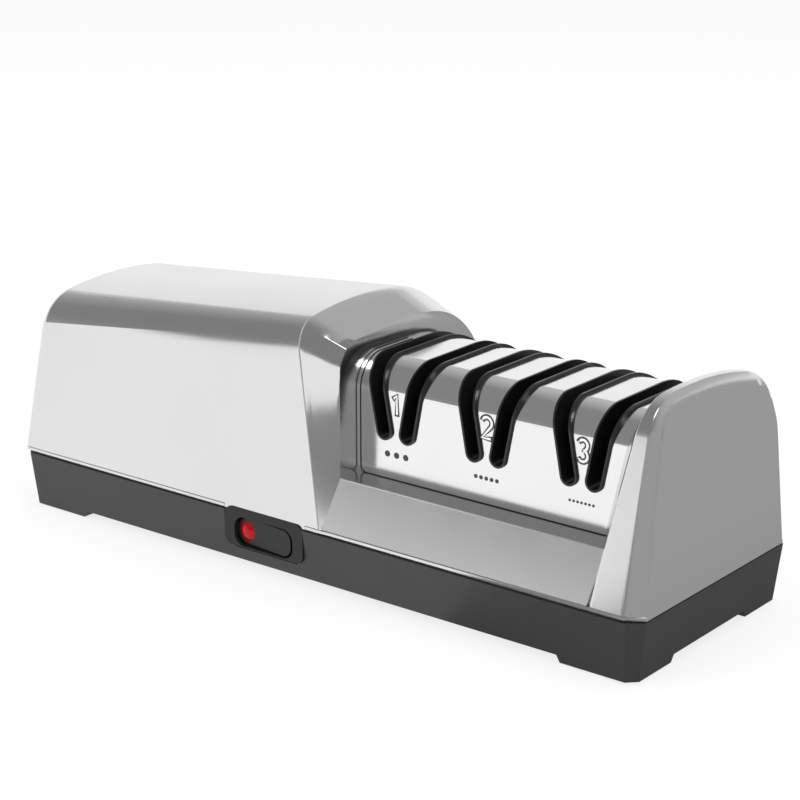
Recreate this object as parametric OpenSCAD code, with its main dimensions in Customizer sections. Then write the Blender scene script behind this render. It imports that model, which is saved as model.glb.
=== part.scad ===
// Three-stage electric knife sharpener, in millimetres.
// +X runs along the body from the motor end to the end cap, the user stands at -Y, +Z is up.
// The origin is the centre of the footprint, on the surface that the rubber feet stand on.

/* [Body] */
// Length of the whole body
body_length = 290; // [270:1:310]
// Depth of the whole body, front to back
body_depth = 101; // [98:1:106]
// Height of the motor hood at its rim
hood_height = 101.5; // [99:0.5:106]
// Height of the motor hood at its far end
hood_end_height = 88; // [85:0.5:92]
// Height of the end cap
cap_height = 96.2; // [94:0.2:99]
// Height of the ledge in front of the slots
ledge_height = 44; // [42:0.5:46]
// Thickness of the silver shell
shell_wall = 2.4; // [2:0.1:2.8]

/* [Base] */
// Height of the dark base tub up to the seam
base_height = 22.6; // [21:0.5:24]
// Thickness of the tub's side walls
base_wall = 2.6; // [2.2:0.1:3]
// Thickness of the tub's floor
floor_thickness = 2.6; // [2.2:0.1:3]
// How far the tub tapers in at its foot, on each side
base_draft = 2.4; // [1:0.1:3]
// Chamfer on the upright corners
corner_chamfer = 4.7; // [3:0.1:6]
// Height of the arches between the corner feet
arch_height = 3.5; // [3:0.1:4.5]
// Shadow gap at the seam
seam_gap = 0.5; // [0.3:0.1:0.8]
// Distance of the feet's inner ends from the body's ends
foot_length = 33; // [30:1:36]
// Width of each corner foot on the end faces
foot_width = 27; // [25:1:29]

/* [Rubber feet] */
// Radius of a rubber foot
pad_radius = 6.5; // [5:0.5:7.5]
// Height of a rubber foot
pad_height = 2.5; // [2:0.1:3]
// How far a rubber foot stands out below the tub
pad_stand_out = 0.8; // [0.5:0.1:1.2]
// Distance of the rubber feet from the ends
pad_from_end = 19; // [18:0.5:22]
// Distance of the rubber feet from the front and back
pad_from_side = 12.5; // [12:0.5:15]

/* [Slot panel] */
// Half of the panel's depth
panel_half_depth = 34; // [33:0.5:35]
// Height of the panel's flat top
panel_height = 85; // [84:0.2:86]
// Radius of the panel's front top corner
panel_corner_radius = 13.5; // [12:0.5:15]
// Radius of the panel's back
panel_back_radius = 31; // [28:0.5:33]
// Thickness of the panel
panel_wall = 2; // [1.6:0.1:2.4]
// Where the panel begins, from the middle of the body
panel_start = 15.3; // [14.8:0.1:16]
// Gap all round the panel's skirt in the ledge
panel_gap = 0.15; // [0.1:0.05:0.25]

/* [Sharpening stages] */
// Distance from the panel's start to the middle of the first stage
first_stage_inset = 17.3; // [16.9:0.1:18.1]
// Distance from the middle of the last stage to the end of the body
last_stage_inset = 33.8; // [33:0.1:34.6]
// Distance between the two slots of a stage at their lower ends
slot_spread = 10.1; // [9.8:0.1:10.6]
// Lean of each slot away from the middle of its stage
slot_lean = 11; // [9:0.5:12]
// Clear width of a blade slot
slot_width = 5.3; // [5:0.1:5.6]
// Wall of a slot liner
guide_wall = 0.8; // [0.7:0.1:1]
// How far a liner's rim stands out of the panel's front face
guide_proud = 0.9; // [0.5:0.1:1.2]
// How far a liner's rim stands up from the panel's top
guide_rise = 3; // [2:0.1:3.4]
// Radius of a liner's front top corner
guide_corner_radius = 11.7; // [10:0.1:13]
// Height of the slots' rounded lower ends
slot_bottom = 58.4; // [58:0.2:60]

/* [Abrasive discs] */
// Radius of an abrasive disc
disc_radius = 20; // [18:0.5:21]
// Thickness of an abrasive disc
disc_thickness = 2.4; // [2:0.1:2.8]
// Distance from the middle of a stage to a disc's grinding face
disc_reach = 4.4; // [4.2:0.1:4.8]
// How far a blade pushes a disc in
disc_travel = 1.2; // [0.8:0.1:1.3]
// Radius of a disc's hub
disc_hub_radius = 7; // [6:0.5:7.5]
// Length of a disc's hub
disc_hub_length = 6; // [5:0.5:7]

/* [Motor and shaft] */
// Height of the shaft above the surface
axis_height = 50; // [49:0.5:51]
// Radius of the drive shaft
shaft_radius = 4; // [3.5:0.1:4.5]
// Running clearance of what turns or slides on the shaft
running_gap = 0.04; // [0.02:0.01:0.08]
// Place of the middle of the stator, from the middle of the body
motor_middle = -89; // [-92:1:-87]
// Length of the stator stack
stack_length = 30; // [26:1:32]
// Width of the square stator stack
stack_width = 54; // [50:1:56]
// Radius of the rotor
rotor_radius = 14.6; // [13:0.1:15.5]
// Air gap between rotor and stator
air_gap = 0.4; // [0.3:0.1:0.8]
// Radius of the cooling fan
fan_radius = 23; // [20:0.5:24]
// Number of fan blades
fan_blades = 9; // [7:1:13]

/* [Switch] */
// Place of the switch's middle along the body
switch_place = -17; // [-20:0.5:-14]
// Width of the switch bezel
bezel_width = 38; // [36:0.5:40]
// Height of the rocker button
button_height = 10; // [9:0.5:10.5]
// Width of the rocker button
button_width = 27; // [25:0.2:28]
// Swing of the rocker from one side to the other
rocker_swing = 9; // [6:0.5:9]
// Radius of the red lamp
lamp_radius = 3.7; // [3:0.1:4]

/* [Cord inlet] */
// Place of the cord inlet along the back
inlet_place = -40; // [-50:1:-30]
// Radius of the hole for the cord
inlet_radius = 3.6; // [3:0.1:4]

/* [Hidden] */

$fn = 64;
tiny = 0.01;
half_length = body_length / 2;
half_depth = body_depth / 2;
shell_bottom = base_height + seam_gap;
shell_half_depth = half_depth - 1;
panel_end_lean = 0.22;      // how far the end cap's inner edge goes out per millimetre of height
panel_end = half_length - 28.1;
first_stage = panel_start + first_stage_inset;
stage_pitch = (half_length - last_stage_inset - first_stage) / 2;
stage_middles = [for (k = [0:2]) first_stage + k * stage_pitch];

// ---------- Rounded cross-sections and skins ----------

corner_steps = 12;
crown_steps = 4;
crown_radius = 160;

// One side of a rounded section, from its foot at distance y to the crest over the middle.
// The side leans in, then a corner arc and a shallow crown arc meet it without a kink.
function half_section(y, lean, top, corner) =
  let (swing = asin((y * cos(lean) + shell_bottom * sin(lean) - corner
                     - sin(lean) * (top - crown_radius)) / (crown_radius - corner)) - lean,
       reach = crown_radius - corner,
       centre = [reach * sin(swing), top - crown_radius + reach * cos(swing)])
  concat(
    [[y, shell_bottom]],
    [for (i = [0:corner_steps]) let (a = lean + (90 - swing - lean) * i / corner_steps)
      centre + corner * [cos(a), sin(a)]],
    [for (i = [1:crown_steps]) let (a = 90 - swing + swing * i / crown_steps)
      [crown_radius * cos(a), top - crown_radius + crown_radius * sin(a)]]);

// A whole section: shape = [front distance, front lean, front corner, back distance, back lean,
// back corner, height, place of the crest], taken in by an inset on every side.
function section(shape, inset = 0) =
  let (crest = shape[7],
       front = half_section(shape[0] + crest - inset, shape[1], shape[6] - inset,
                            max(shape[2] - inset, 3)),
       back = half_section(shape[3] - crest - inset, shape[4], shape[6] - inset,
                           max(shape[5] - inset, 3)),
       last = len(back) - 1)
  concat([for (p = front) [crest - p[0], p[1]]],
         [for (i = [1:last]) [crest + back[last - i][0], back[last - i][1]]]);

// The same section in space, on the plane x = at + lean * (z - shell_bottom).
function placed(points, at, lean = 0) =
  [for (p = points) [at + lean * (p[1] - shell_bottom), p[0], p[1]]];

// A skin through sections with equally many points.
module skin(sections) {
  m = len(sections[0]);
  n = len(sections);
  polyhedron(
    points = [for (s = sections) for (p = s) p],
    faces = concat(
      [[for (j = [0:m - 1]) m - 1 - j]],
      [for (i = [0:n - 2]) for (j = [0:m - 1]) let (a = i * m + j, b = i * m + (j + 1) % m)
        [a, b, b + m]],
      [for (i = [0:n - 2]) for (j = [0:m - 1]) let (a = i * m + j, b = i * m + (j + 1) % m)
        [a, b + m, a + m]],
      [[for (j = [0:m - 1]) (n - 1) * m + j]]),
    convexity = 6);
}

// Extrudes a (y, z) outline along +X from x = from, by the length given.
module along_x(from, length) {
  translate([from, 0, 0]) rotate([90, 0, 90]) linear_extrude(length) children();
}

// Extrudes an (x, z) outline along Y, centred on y = 0.
module along_y(length) {
  translate([0, length / 2, 0]) rotate([90, 0, 0]) linear_extrude(length) children();
}

// A cylinder along X from x = from, on the shaft's axis.
module on_axis(from, length, radius) {
  translate([from, 0, axis_height]) rotate([0, 90, 0]) cylinder(h = length, r = radius);
}

// A ring along X from x = from, on the shaft's axis.
module ring_on_axis(from, length, outer, inner) {
  difference() {
    on_axis(from, length, outer);
    on_axis(from - 1, length + 2, inner);
  }
}

// A rectangle with rounded corners, centred.
module rounded(size, radius) {
  square([size[0] - 2 * radius, size[1]], center = true);
  square([size[0], size[1] - 2 * radius], center = true);
  for (sx = [-1, 1], sy = [-1, 1])
    translate([sx * (size[0] / 2 - radius), sy * (size[1] / 2 - radius)]) circle(radius);
}

// ---------- Silver shell ----------

// Section of the hood at its far end, at its rim and at the inner edge of the rim's flare
hood_end_shape = [shell_half_depth, 9.7, 18, shell_half_depth, 12, 22, hood_end_height, 0];
hood_rim_shape = [shell_half_depth + 0.3, 3.8, 12, shell_half_depth + 0.5, 6, 38, hood_height, -8];
hood_inner_shape = [panel_half_depth + 10.8, 0.5, 10, panel_half_depth + 12, 6, 38,
                    hood_height - 6, -10];
// Section of the end cap at the flare's inner edge, and at its ridge
cap_inner_shape = [panel_half_depth + 1.6, 1, 14, panel_half_depth + 2, 3, 30,
                   panel_height + 2.6, -12];
cap_ridge_shape = [shell_half_depth, 8, 14, shell_half_depth, 7, 30, cap_height, -16];

hood_end_bevel = 3;
hood_end_lean = 0.07;       // the far end leans in going up
rim_place = 9.4;            // place of the rim at the seam
rim_lean = -0.165;          // the rim goes back towards the motor going up
cap_bevel = 4.4;            // how far the end face is smaller than the ridge on every side
cap_end_lean = -0.03;
ridge_start = 7.7;          // width of the end cap's flare at the seam
ridge_lean = 0.177;         // how far the end cap's ridge goes out per millimetre of height
bevel_start = 6.3;          // width of the bevel round the end face at the seam
bevel_lean = 0.03;

function mix(a, b, share) = a * (1 - share) + b * share;

// Sections that round the ridge at b between its neighbours a and c, over a share of each side
function eased(a, b, c, share_a, share_c, steps = 4) =
  let (from = mix(b, a, share_a), to = mix(b, c, share_c))
  [for (i = [0:steps]) let (t = i / steps) mix(mix(from, b, t), mix(b, to, t), t)];

module hood_outside() {
  end_face = placed(section(hood_end_shape, hood_end_bevel), -half_length, hood_end_lean);
  shoulder = placed(section(hood_end_shape), -half_length + hood_end_bevel, hood_end_lean);
  corner = placed(section(hood_end_shape, 0.1), -half_length + 0.1, hood_end_lean);
  rim = placed(section(hood_rim_shape), rim_place, rim_lean);
  inner = placed(section(hood_inner_shape), panel_start);
  skin(concat(eased(end_face, corner, shoulder, 1, 1, 5),
              eased(shoulder, rim, inner, 0.008, 0.16), [inner]));
}

module hood_inside() {
  skin([
    placed(dropped(section(hood_end_shape, hood_end_bevel + shell_wall)),
           -half_length + shell_wall, hood_end_lean),
    placed(dropped(section(hood_end_shape, shell_wall)),
           -half_length + hood_end_bevel + 0.4 * shell_wall, hood_end_lean),
    placed(dropped(section(hood_rim_shape, shell_wall)), rim_place - 0.4 * shell_wall, rim_lean),
    placed(dropped(section(hood_inner_shape, shell_wall)), panel_start - shell_wall)
  ]);
}

// A section whose sides go on straight down past the seam, for cavities
function dropped(points) =
  concat([[points[0][0], shell_bottom - 5]], points,
         [[points[len(points) - 1][0], shell_bottom - 5]]);

module cap_outside() {
  inner = placed(section(cap_inner_shape), panel_end, panel_end_lean);
  ridge = placed(section(cap_ridge_shape), panel_end + ridge_start, ridge_lean);
  bevel = placed(section(cap_ridge_shape), half_length - bevel_start, bevel_lean);
  end_face = placed(section(cap_ridge_shape, cap_bevel), half_length, cap_end_lean);
  skin(concat([inner], eased(inner, ridge, bevel, 0.12, 0.1),
              eased(ridge, bevel, end_face, 0.12, 0.2), [end_face]));
}

module cap_inside() {
  skin([
    placed(dropped(section(cap_inner_shape, shell_wall)), panel_end + shell_wall, panel_end_lean),
    placed(dropped(section(cap_ridge_shape, shell_wall)), panel_end + ridge_start + 1.2, ridge_lean),
    placed(dropped(section(cap_ridge_shape, shell_wall)), half_length - bevel_start - 0.4 * shell_wall,
           bevel_lean),
    placed(dropped(section(cap_ridge_shape, cap_bevel + shell_wall)), half_length - shell_wall,
           cap_end_lean)
  ]);
}

// The low front and back between hood and end cap, with the flat ledge on top
lip = panel_half_depth + 10.6;
module apron_outline(inset = 0) {
  foot = inset > 0 ? shell_bottom - 5 : shell_bottom;
  polygon([[-shell_half_depth + inset, foot], [shell_half_depth - inset, foot],
           [shell_half_depth - inset, shell_bottom], [lip - inset, ledge_height - inset],
           [-lip + inset, ledge_height - inset], [-shell_half_depth + inset, shell_bottom]]);
}

// What lies beyond the end cap's leaning inner face
module beyond_panel(offset = 0) {
  low = shell_bottom - 2 * base_height;
  high = 2 * hood_height;
  function edge(z) = panel_end + offset + panel_end_lean * (z - shell_bottom);
  along_y(3 * body_depth)
    polygon([[edge(low), low], [edge(high), high], [2 * body_length, high],
             [2 * body_length, low]]);
}

// Room under the panel, open to the top and through to the apron
module slot_chamber() {
  difference() {
    union() {
      translate([panel_start, -panel_half_depth - panel_gap, shell_bottom - 5])
        cube([panel_end, 2 * (panel_half_depth + panel_gap), hood_height]);
      along_x(panel_start, panel_end) apron_outline(shell_wall);
    }
    beyond_panel();
  }
}

// Slot that lets the shell drop over the shaft
shaft_slot = shaft_radius + 1.5;
module shaft_passage() {
  from = panel_start - 3 * shell_wall;
  length = panel_end + 4 * shell_wall - from;
  on_axis(from, length, shaft_slot);
  translate([from, -shaft_slot, shell_bottom - 5])
    cube([length, 2 * shaft_slot, axis_height - shell_bottom + 5]);
}

screw_radius = 1.6;
post_radius = 3.8;
post_foot = base_height - 8;
post_top = 45;
rib = 2;
shell_posts = [for (x = [-half_length + 11, half_length - 11], y = [-30, 30]) [x, y]];
middle_posts = [for (y = [-1, 1]) [5.5, y * (half_depth - 9.5)]];

// Ribs that tie the screw posts to the nearest wall
module post_ribs() {
  for (p = shell_posts) translate([p[0] > 0 ? p[0] : p[0] - 15, p[1] - rib / 2, shell_bottom])
    cube([15, rib, post_top - shell_bottom - rib]);
  for (p = middle_posts) translate([p[0] - rib / 2, p[1] > 0 ? p[1] : p[1] - 15, shell_bottom])
    cube([rib, 15, post_top - shell_bottom - rib]);
}

module top_shell() {
  color("silver") difference() {
    union() {
      difference() {
        union() {
          hood_outside();
          difference() {
            along_x(rim_place, half_length - rim_place) apron_outline();
            beyond_panel(ridge_start - 1);
          }
          cap_outside();
        }
        hood_inside();
        slot_chamber();
        cap_inside();
        shaft_passage();
      }
      for (p = concat(shell_posts, middle_posts)) translate([p[0], p[1], post_foot])
        cylinder(h = post_top - post_foot, r = post_radius);
      intersection() {
        post_ribs();
        union() {
          hood_outside();
          cap_outside();
        }
      }
    }
    for (p = concat(shell_posts, middle_posts))
      translate([p[0], p[1], post_foot - 1]) cylinder(h = 16, r = screw_radius - 0.2);
    bezel_pocket();
  }
}

// ---------- Slot panel ----------

panel_skirt_foot = ledge_height - 6;
flange = 3;

// A hump with an upright front, a front corner arc, a flat top and a large arc down its back
module hump(half, top, front_radius, back_radius) {
  translate([-half, 0]) square([2 * half, top - back_radius]);
  translate([-half, 0]) square([half, top - front_radius]);
  translate([-half + front_radius, 0]) square([2 * half - front_radius - back_radius, top]);
  translate([-half + front_radius, top - front_radius]) circle(front_radius, $fn = 96);
  translate([half - back_radius, top - back_radius]) circle(back_radius, $fn = 128);
}

module panel_outline(inset = 0) {
  hump(panel_half_depth - inset, panel_height - inset, panel_corner_radius - inset,
       panel_back_radius - inset);
}

// Outline of one slot in the middle plane of its stage, leaning out, as wide as given
module slot_outline(side, width) {
  radius = width / 2;
  centre = slot_bottom + slot_width / 2 + guide_wall;
  translate([side * slot_spread / 2, centre]) rotate(-side * slot_lean) {
    circle(radius);
    translate([-radius, 0]) square([width, hood_height]);
  }
}

slot_outer = slot_width + 2 * guide_wall;
seat_gap = 0.04;

module slot_panel() {
  color("gainsboro") difference() {
    along_x(panel_start, panel_end) difference() {
      union() {
        panel_outline();
        translate([-panel_half_depth - flange, panel_skirt_foot])
          square([2 * (panel_half_depth + flange),
                  ledge_height - shell_wall - panel_skirt_foot - panel_gap]);
      }
      panel_outline(panel_wall);
      translate([-body_depth, -1]) square([2 * body_depth, panel_skirt_foot + 1]);
    }
    beyond_panel(-panel_gap);
    for (x = stage_middles, side = [-1, 1])
      translate([x, 0, 0]) along_y(body_depth) slot_outline(side, slot_outer + 2 * seat_gap);
  }
}

// ---------- Slot liners ----------

guide_window = disc_radius + 0.8;
module guide(stage, side) {
  x = stage_middles[stage - 1];
  reach = panel_half_depth + guide_proud;
  color([0.1, 0.1, 0.11]) difference() {
    intersection() {
      translate([x, 0, 0]) along_y(2 * reach) slot_outline(side, slot_outer);
      along_x(x - 30, 60)
        hump(reach, panel_height + guide_rise, guide_corner_radius, panel_back_radius + guide_proud);
    }
    translate([x, 0, 0]) along_y(3 * reach) slot_outline(side, slot_width);
    on_axis(side > 0 ? x : x - disc_reach - 0.4, disc_reach + 0.4, guide_window);
  }
}

// ---------- Dark base ----------

// Chamfered rectangle taken in on every side
module footprint(inset, chamfer) {
  x = half_length - inset;
  y = half_depth - inset;
  polygon([[-x + chamfer, -y], [x - chamfer, -y], [x, -y + chamfer], [x, y - chamfer],
           [x - chamfer, y], [-x + chamfer, y], [-x, y - chamfer], [-x, -y + chamfer]]);
}

module tapered_block(foot, top, inset) {
  chamfer_foot = corner_chamfer - 1.2;
  hull() {
    translate([0, 0, foot]) linear_extrude(tiny) footprint(base_draft + inset, chamfer_foot);
    translate([0, 0, top - tiny]) linear_extrude(tiny) footprint(inset, corner_chamfer);
  }
}

floor_top = arch_height + floor_thickness;
tongue_height = 3;
tongue = 1.1;
tongue_shelf = 2;           // thickness of the shelf that carries the tongue
tongue_drop = 2;            // how far the shelf lies below the seam
tongue_inset = half_depth - shell_half_depth + shell_wall + 0.8;

// Stretches of the seam where the tub's tongue stands up inside the shell
module tongue_runs() {
  runs = [[-half_length + 16, switch_place - bezel_width / 2 - 1], [panel_start + 4, panel_end - 4]];
  for (run = runs) translate([run[0], -half_depth]) square([run[1] - run[0], body_depth]);
  translate([-half_length, -18]) square([body_length, 36]);
}

// A band round the tub below the seam, from an inset to the tongue's inner face
module tongue_band(outer, height) {
  translate([0, 0, base_height - tongue_shelf - tongue_drop]) linear_extrude(height)
    intersection() {
      difference() {
        footprint(outer, corner_chamfer);
        footprint(tongue_inset + tongue, corner_chamfer);
      }
      tongue_runs();
    }
}

cover_length = 2 * stage_pitch + 17.4;
cover_width = 50;
cover_middle = stage_middles[1];
cover_wall = 2;

module arches() {
  run = half_length - foot_length;
  across = half_depth - foot_width;
  slope = 2.2;
  along_y(2 * body_depth)
    polygon([[-run - slope, -1], [run + slope, -1], [run, arch_height], [-run, arch_height]]);
  along_x(-body_length, 2 * body_length)
    polygon([[-across - slope, -1], [across + slope, -1], [across, arch_height],
             [-across, arch_height]]);
}

vent_count = 9;
vent_pitch = 7.5;
module floor_vents() {
  for (i = [0:vent_count - 1], row = [-1, 1])
    translate([motor_middle + (i - (vent_count - 1) / 2) * vent_pitch, row * 32, 0])
      linear_extrude(3 * floor_top) rounded([3, 16], 1.45);
}

// Posts that carry the motor's rubber dampers
bracket_gap = 13;           // free length beyond the stack for the coils
bracket_thickness = 3;
foot_spread = 17;
damper_height = 4;
damper_radius = 5.5;
damper_seat = floor_top + 3;
motor_feet = [for (s = [-1, 1], y = [-foot_spread, foot_spread])
  [motor_middle + s * (stack_length / 2 + bracket_gap + bracket_thickness + 5), y]];

block_length = 8;
block_middle = half_length - 10.9;
pillar_top = axis_height - 17;
bearing_screw_places = [-12.8, 12.8];
inlet_height = 13;
inlet_face = half_depth - 0.9;

module along_back(from, length, radius) {
  translate([inlet_place, from, inlet_height]) rotate([-90, 0, 0])
    cylinder(h = length, r = radius);
}

module base_tub() {
  foot = pad_stand_out;
  color([0.27, 0.27, 0.28]) difference() {
    union() {
      difference() {
        tapered_block(foot, base_height, 0);
        tapered_block(floor_top, base_height + 0.1, base_wall);
      }
      tongue_band(tongue_inset, tongue_shelf + tongue_height + tongue_drop);
      tongue_band(base_wall - 0.8, tongue_shelf);
      for (p = shell_posts) translate([p[0], p[1], foot])
        cylinder(h = post_foot - foot, r = post_radius + 1);
      for (p = middle_posts) translate([p[0], p[1], arch_height])
        cylinder(h = post_foot - arch_height, r = post_radius + 1);
      for (p = motor_feet) translate([p[0], p[1], floor_top - 0.5])
        cylinder(h = damper_seat - floor_top + 0.5, r = damper_radius);
      translate([block_middle - block_length / 2, -16, floor_top - 0.5])
        cube([block_length, 32, pillar_top - floor_top + 0.5]);
      for (s = [-1, 1]) translate([block_middle - 12, s * 10 - 1.2, floor_top - 0.5])
        cube([12, 2.4, base_height - floor_top]);
      translate([cover_middle - cover_length / 2 - 2.5, -cover_width / 2 - 2.5, floor_top - 0.5])
        cube([cover_length + 5, cover_width + 5, 2.5]);
      along_back(half_depth - 12, 10, 10);
    }
    arches();
    floor_vents();
    translate([cover_middle - cover_length / 2, -cover_width / 2, 0])
      cube([cover_length, cover_width, arch_height + cover_wall + panel_gap]);
    translate([cover_middle - cover_length / 2 + 4, -cover_width / 2 + 7, 0])
      cube([cover_length - 8, cover_width - 14, 5 * floor_top]);
    for (x = [-1, 1]) translate([cover_middle + x * (cover_length / 2 - 8),
                                 -cover_width / 2 + 3.5, arch_height])
      cylinder(h = 8, r = 1);
    for (x = [-1, 1], y = [-1, 1])
      translate([x * (half_length - pad_from_end), y * (half_depth - pad_from_side), -1])
        cylinder(h = pad_height + 1, r = pad_radius + seat_gap);
    for (p = concat(shell_posts, middle_posts)) translate([p[0], p[1], 0]) {
      cylinder(h = 3 * base_height, r = screw_radius + 0.3);
      translate([0, 0, -1]) cylinder(h = 8, r = 3.4);
    }
    for (p = motor_feet) translate([p[0], p[1], arch_height - 1])
      cylinder(h = base_height, r = screw_radius - 0.2);
    for (y = bearing_screw_places) translate([block_middle, y, pillar_top - 10])
      cylinder(h = 11, r = screw_radius - 0.2);
    along_back(half_depth - 20, 40, inlet_radius + 1.7);
    along_back(inlet_face - 1.8, 10, inlet_radius + 4.2);
    bezel_pocket();
    switch_hole();
  }
}

module rubber_feet() {
  color([0.13, 0.13, 0.13])
    for (x = [-1, 1], y = [-1, 1])
      translate([x * (half_length - pad_from_end), y * (half_depth - pad_from_side), 0])
        rotate_extrude() polygon([[0, 0], [pad_radius - 1, 0], [pad_radius, 0.6],
                                  [pad_radius, pad_height], [0, pad_height]]);
}

module clean_out_cover() {
  gap = panel_gap;
  color([0.22, 0.22, 0.23]) difference() {
    translate([cover_middle - cover_length / 2 + gap, -cover_width / 2 + gap, arch_height])
      cube([cover_length - 2 * gap, cover_width - 2 * gap, cover_wall]);
    for (x = [-1, 1]) translate([cover_middle + x * (cover_length / 2 - 8),
                                 -cover_width / 2 + 3.5, 0])
      cylinder(h = 10, r = 1.4);
    for (i = [-2:2]) translate([cover_middle + i * 6 - 1, cover_width / 2 - 8, 0])
      cube([2, 5, arch_height + 0.8]);
  }
}

module cover_screws() {
  color("dimgray") for (x = [-1, 1])
    translate([cover_middle + x * (cover_length / 2 - 8), -cover_width / 2 + 3.5,
               arch_height - 1.3]) {
      cylinder(h = 1.3, r = 2.6);
      cylinder(h = 6, r = 0.98);
    }
}

module shell_screws() {
  color("dimgray") for (p = concat(shell_posts, middle_posts))
    translate([p[0], p[1], 7 - 2]) {
      cylinder(h = 2, r = 3);
      cylinder(h = 16, r = screw_radius - 0.22);
    }
}

// ---------- Switch ----------

bezel_foot = 9.2;
bezel_top = base_height + 1.6;
bezel_face = -half_depth + 0.2;
bezel_depth = 1.8;
button_middle = 15.4;
button_gap = 0.7;
rocker_axis_y = -half_depth + 5.4;
trunnion_radius = 1.3;
ear = 1.4;

// An outline in front view, with its face at y and its depth going back
module facing_front(face, depth) {
  translate([0, face + depth, 0]) rotate([90, 0, 0]) linear_extrude(depth) children();
}

module bezel_outline(grow = 0) {
  height = bezel_top - bezel_foot;
  translate([switch_place, (bezel_top + bezel_foot) / 2])
    rounded([bezel_width + 2 * grow, height + 2 * grow], 3.5);
}

module bezel_pocket() {
  facing_front(-body_depth, body_depth + bezel_face + bezel_depth) bezel_outline(0.1);
}

module switch_hole() {
  facing_front(-body_depth, body_depth - 30)
    translate([switch_place, button_middle])
      square([button_width + 3.2, button_height + 2 * button_gap + 2 * ear + 0.2], center = true);
}

module switch_bezel() {
  color([0.2, 0.2, 0.21]) difference() {
    facing_front(bezel_face, bezel_depth) bezel_outline();
    facing_front(-body_depth, body_depth)
      translate([switch_place, button_middle])
        rounded([button_width + 2 * button_gap, button_height + 2 * button_gap], 4.6);
  }
}

// Turns its children about the rocker's upright axis, to the side pressed in the photo
module rocked() {
  translate([switch_place, rocker_axis_y, 0]) rotate([0, 0, -rocker_swing / 2])
    translate([-switch_place, -rocker_axis_y, 0]) children();
}

button_face = -half_depth + 1.35;
module rocker_button() {
  color([0.24, 0.24, 0.25]) rocked() difference() {
    union() {
      facing_front(button_face, 4)
        translate([switch_place, button_middle]) rounded([button_width, button_height], 4);
      translate([switch_place, rocker_axis_y, button_middle - button_height / 2])
        cylinder(h = button_height, r = 3.4);
      translate([switch_place, rocker_axis_y, button_middle - button_height / 2 - ear + 0.3])
        cylinder(h = button_height + 2 * ear - 0.6, r = trunnion_radius);
    }
    lamp_place() cylinder(h = 4, r = lamp_radius - 0.5, center = true);
  }
}

// The lamp's place on the button's face, with +Z pointing out
module lamp_place() {
  translate([switch_place - button_width / 2 + lamp_radius + 1, button_face,
             button_middle - 0.2])
    rotate([90, 0, 0]) children();
}

module lamp_lens() {
  dome = 1.3;
  ball = (lamp_radius * lamp_radius + dome * dome) / (2 * dome);
  color([0.85, 0.05, 0.08]) rocked() lamp_place() {
    intersection() {
      translate([0, 0, dome - ball]) sphere(ball);
      cylinder(h = 5, r = lamp_radius);
    }
    translate([0, 0, -1.9]) cylinder(h = 1.9 + tiny, r = lamp_radius - 0.52);
  }
}

switch_depth = 23;          // from the front of the body to the back of the switch
switch_back = -half_depth + switch_depth;
switch_front = bezel_face + bezel_depth;
module switch_body() {
  width = button_width + 3;
  height = button_height + 2 * button_gap + 2 * ear;
  color([0.15, 0.15, 0.16]) difference() {
    translate([switch_place - width / 2, switch_front, button_middle - height / 2])
      cube([width, switch_back - switch_front, height]);
    translate([switch_place - width / 2 + 1, switch_front - 1, button_middle - height / 2 + ear])
      cube([width - 2, 9, height - 2 * ear]);
    translate([switch_place, rocker_axis_y, 0])
      cylinder(h = base_height, r = trunnion_radius + running_gap);
  }
  color("gold") for (i = [-1:1])
    translate([switch_place + i * 8 - 0.4, switch_back - tiny, button_middle - 2.4])
      cube([0.8, 7, 4.8]);
}

// ---------- Cord inlet ----------

module inlet_bush() {
  color([0.16, 0.16, 0.16]) difference() {
    union() {
      along_back(inlet_face - 1.8, 1.8, inlet_radius + 4.1);
      along_back(half_depth - 14.4, inlet_face - half_depth + 13, inlet_radius + 1.66);
      along_back(half_depth - 14.4, 2.3, inlet_radius + 2.9);
    }
    along_back(half_depth - 30, 60, inlet_radius);
  }
}

// ---------- Motor ----------

coil_slot = rotor_radius + 6.4;
leg_radius = 2.6;
tie_place = stack_width / 2 - 5.5;

module across_stack(from, length, places, radius) {
  for (p = places) translate([from, p[0], axis_height + p[1]])
    rotate([0, 90, 0]) cylinder(h = length, r = radius);
}
coil_legs = [for (a = [0:45:315]) coil_slot * [cos(a + 22.5), sin(a + 22.5)]];
ties = [for (y = [-tie_place, tie_place], z = [-tie_place, tie_place]) [y, z]];

module stator_stack() {
  from = motor_middle - stack_length / 2;
  color([0.45, 0.46, 0.48]) difference() {
    intersection() {
      translate([from, -stack_width / 2, axis_height - stack_width / 2])
        cube([stack_length, stack_width, stack_width]);
      on_axis(from, stack_length, stack_width * 0.65);
    }
    on_axis(from - 1, stack_length + 2, rotor_radius + air_gap);
    across_stack(from - 1, stack_length + 2, coil_legs, leg_radius + 0.1);
    across_stack(from - 1, stack_length + 2, ties, screw_radius + 0.1);
  }
}

coil_height = 9;
module field_coils() {
  color([0.72, 0.4, 0.2]) {
    for (s = [-1, 1])
      translate([motor_middle + s * (stack_length / 2 + 0.6 + coil_height / 2), 0, axis_height])
        rotate([0, 90, 0]) rotate_extrude() translate([coil_slot, 0])
          rounded([7.6, coil_height], 3);
    across_stack(motor_middle - stack_length / 2 - 1.5, stack_length + 3, coil_legs, leg_radius);
  }
}

bush_radius = 6.5;
bush_length = 9;

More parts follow.
